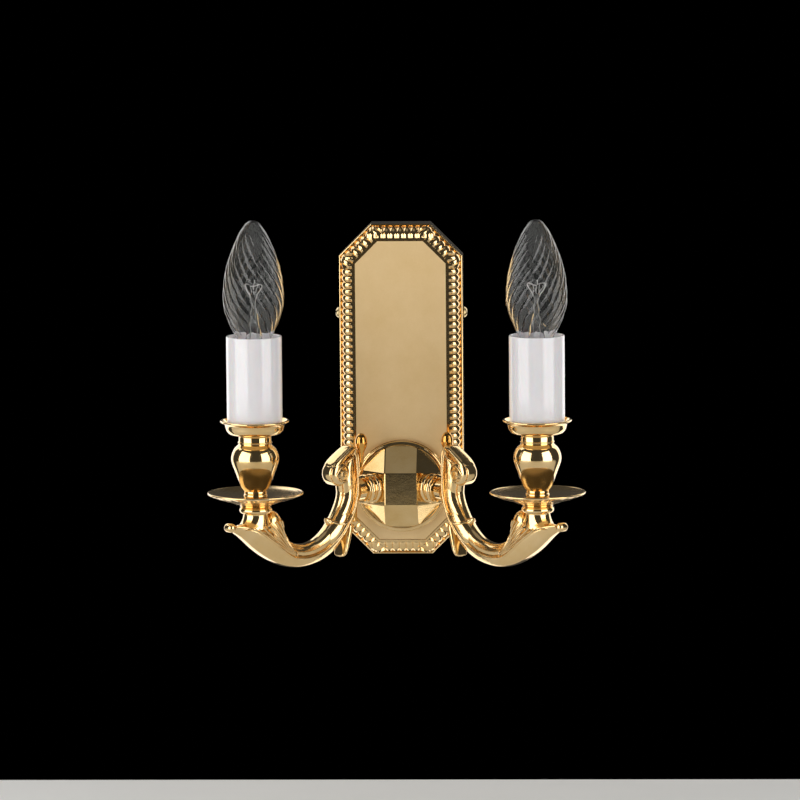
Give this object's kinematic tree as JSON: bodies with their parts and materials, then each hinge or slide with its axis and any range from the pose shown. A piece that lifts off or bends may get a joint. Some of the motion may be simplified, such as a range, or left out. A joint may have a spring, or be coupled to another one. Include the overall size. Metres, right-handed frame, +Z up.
{
  "type": "double arm wall sconce",
  "caption": "Brass wall sconce: tall bordered octagonal back plate, faceted boss, scroll arms with drip pans and vase cups, white candle tubes and twisted candle lamps.",
  "frame": {"origin": "midway between the two wall screws, on the wall's surface, which is also the centre of the back plate's outline", "axes": "+X to the viewer's right, +Y into the wall, +Z up"},
  "size_m": [0.2172, 0.1254, 0.2052],
  "materials": {
    "polished_brass": "polished cast and spun brass, satin on the plate's panel",
    "brass_fittings": "turned brass, plain",
    "zinc_steel": "zinc-plated sheet steel",
    "cream_plastic": "moulded",
    "white_gloss_sleeve": "smooth glossy white",
    "white_holder": "moulded",
    "nickel_cap": "pressed",
    "black_glass": "fused black insulator",
    "clear_glass": "clear",
    "filament_wire": "drawn wire",
    "lead_sheath": "flexible sheath"
  },
  "bodies": {
    "root": {"back_plate": "polished_brass", "wall_bracket": "zinc_steel", "earth_screw": "brass_fittings", "terminal_block": "cream_plastic", "terminal_screws": "zinc_steel", "boss_body": "polished_brass", "boss_ring": "polished_brass", "boss_screws": "brass_fittings", "arm_left": "polished_brass", "arm_right": "polished_brass", "arm_collar_left": "polished_brass", "arm_collar_right": "polished_brass", "arm_nipple_left": "brass_fittings", "arm_nipple_right": "brass_fittings", "pan_ring_left": "polished_brass", "pan_ring_right": "polished_brass", "drip_pan_left": "polished_brass", "drip_pan_right": "polished_brass", "cup_bead_left": "polished_brass", "cup_bead_right": "polished_brass", "candle_cup_left": "polished_brass", "candle_cup_right": "polished_brass", "candle_rod_left": "brass_fittings", "candle_rod_right": "brass_fittings", "cup_nut_left": "brass_fittings", "cup_nut_right": "brass_fittings", "lampholder_left": "white_holder", "lampholder_right": "white_holder", "lampholder_contacts_left": "brass_fittings", "lampholder_contacts_right": "brass_fittings", "lead_left": "lead_sheath", "lead_right": "lead_sheath"},
    "lamp_left": {"lamp_cap_left": "nickel_cap", "lamp_insulator_left": "black_glass", "lamp_glass_left": "clear_glass", "lamp_mount_left": "clear_glass", "lamp_filament_left": "filament_wire"},
    "sleeve_left": {"candle_tube_left": "white_gloss_sleeve"},
    "screw_left": {"side_screw_left": "polished_brass"},
    "lamp_right": {"lamp_cap_right": "nickel_cap", "lamp_insulator_right": "black_glass", "lamp_glass_right": "clear_glass", "lamp_mount_right": "clear_glass", "lamp_filament_right": "filament_wire"},
    "sleeve_right": {"candle_tube_right": "white_gloss_sleeve"},
    "screw_right": {"side_screw_right": "polished_brass"}
  },
  "joints": [
    {"name": "lamp_left_lift", "type": "slide", "parent": "root", "child": "lamp_left", "axis": [0, 0, 1], "range_m": [0, 0.11]},
    {"name": "sleeve_left_lift", "type": "slide", "parent": "root", "child": "sleeve_left", "axis": [0, 0, 1], "range_m": [0, 0.055]},
    {"name": "side_screw_left_turn", "type": "hinge", "parent": "root", "child": "screw_left", "pos_m": [-0.036, -0.007, 0.0445], "axis": [-1, 0, 0], "continuous": true},
    {"name": "lamp_right_lift", "type": "slide", "parent": "root", "child": "lamp_right", "axis": [0, 0, 1], "range_m": [0, 0.11]},
    {"name": "sleeve_right_lift", "type": "slide", "parent": "root", "child": "sleeve_right", "axis": [0, 0, 1], "range_m": [0, 0.055]},
    {"name": "side_screw_right_turn", "type": "hinge", "parent": "root", "child": "screw_right", "pos_m": [0.036, -0.007, 0.0445], "axis": [1, 0, 0], "continuous": true}
  ],
  "couplings": [
    {"joint": "sleeve_left_lift", "follows": "lamp_left_lift", "ratio": 0.5},
    {"joint": "sleeve_right_lift", "follows": "lamp_right_lift", "ratio": 0.5}
  ]
}
